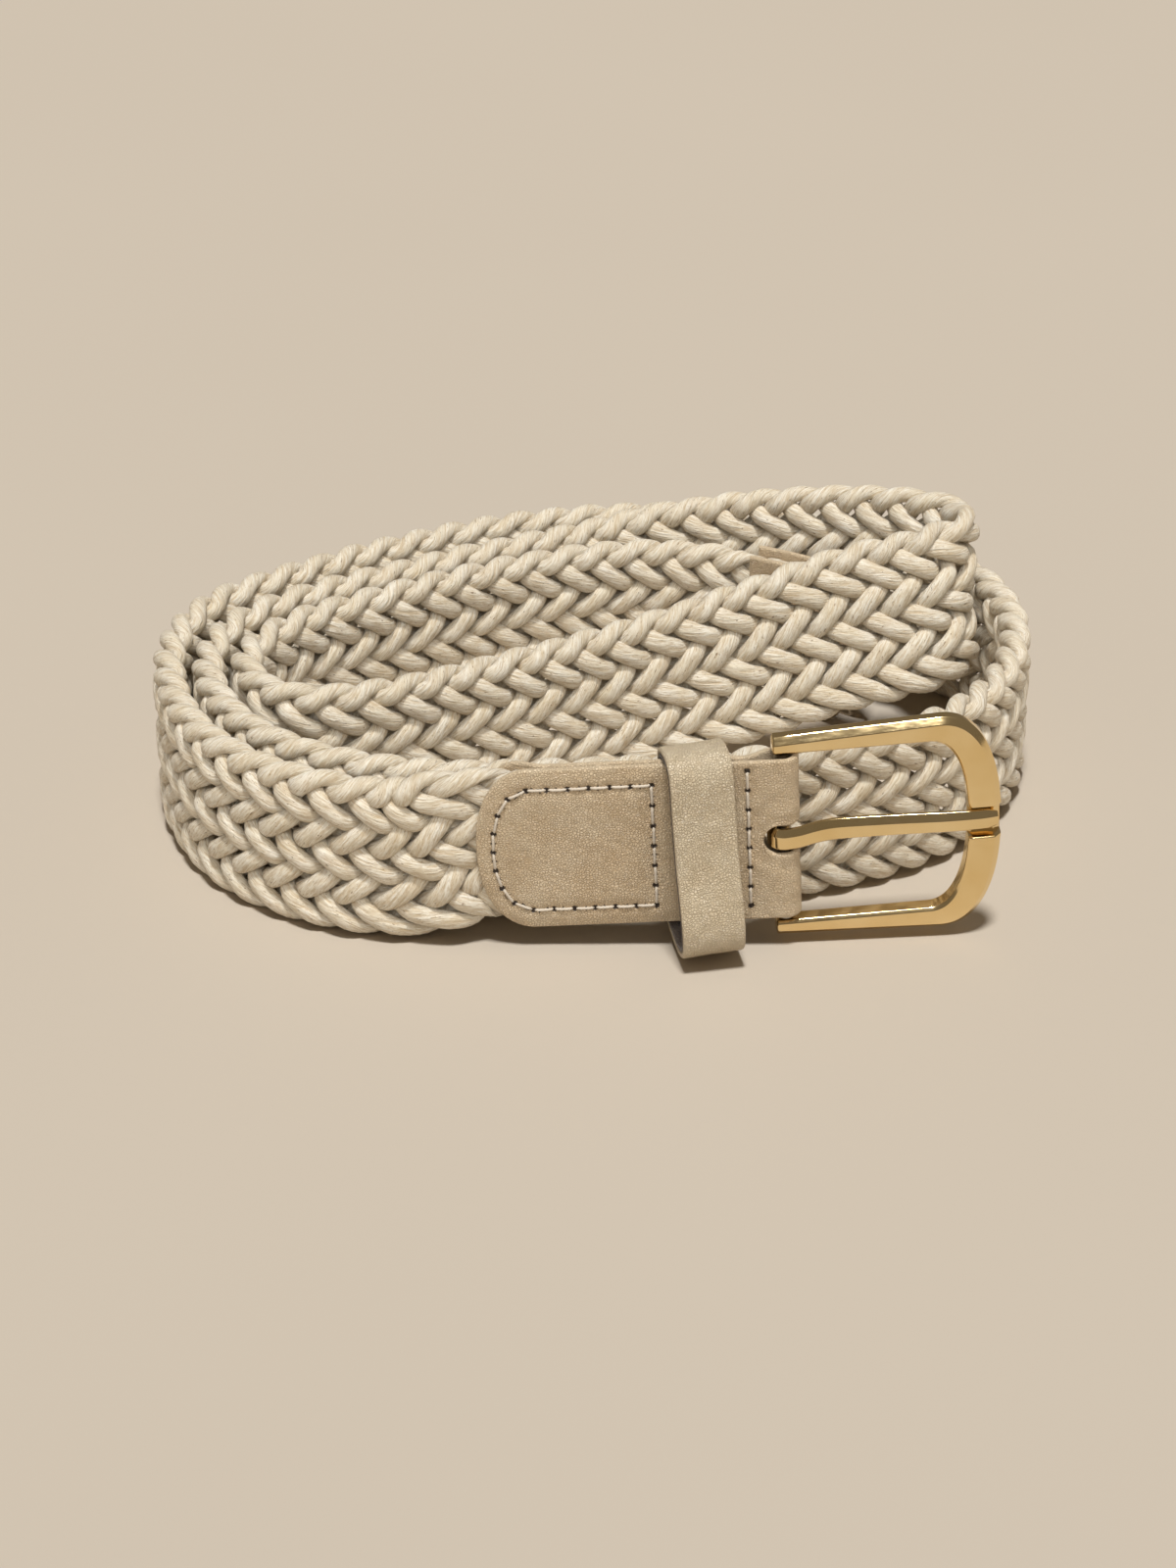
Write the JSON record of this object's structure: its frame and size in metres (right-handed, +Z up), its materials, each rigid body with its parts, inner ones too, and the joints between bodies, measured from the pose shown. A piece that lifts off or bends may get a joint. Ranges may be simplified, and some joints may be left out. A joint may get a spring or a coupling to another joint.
{
  "type": "braided belt",
  "caption": "Braided cord belt with leather tab and keeper and a pin buckle, coiled on its edge as it is displayed.",
  "frame": {"origin": "centre of the belt's outline on the surface that it stands on", "axes": "+Z up, +X along the coil's long side towards the buckle's rim, -Y towards the side that shows the buckle"},
  "size_m": [0.1552, 0.1215, 0.0452],
  "materials": {
    "cord": "waxed cotton cord, soft sheen",
    "leather": "smooth fine-grained leather, satin",
    "lining": "fuzzy split-leather back",
    "thread": "matt sewing thread",
    "gold": "polished pale gold plating",
    "steel": "bright wire"
  },
  "bodies": {
    "strap": {"braided_strap": "cord", "tip_outer_leather": "leather", "tip_inner_leather": "leather", "buckle_tab": "leather", "tab_needle_thread": "thread", "tab_bobbin_thread": "thread", "fold_needle_thread": "thread", "fold_bobbin_thread": "thread", "tip_needle_thread": "thread", "tip_bobbin_thread": "thread"},
    "buckle": {"buckle_frame": "gold", "buckle_bar": "steel"},
    "prong": {"prong": "gold"},
    "keeper": {"keeper_leather": "leather", "keeper_lining": "lining", "keeper_staple": "steel"}
  },
  "joints": [
    {"name": "buckle_hinge", "type": "hinge", "parent": "strap", "child": "buckle", "pos_m": [0.03082, -0.0494, 0.02035], "axis": [-0.0488, 0, 0.9988], "range_deg": [-45, 25]},
    {"name": "prong_hinge", "type": "hinge", "parent": "buckle", "child": "prong", "pos_m": [0.03082, -0.0494, 0.02035], "axis": [-0.0488, 0, 0.9988], "range_deg": [-45, 0]},
    {"name": "keeper_slide", "type": "slide", "parent": "strap", "child": "keeper", "axis": [0.9988, 0, 0.0488], "range_m": [-0.004, 0.0025]}
  ]
}
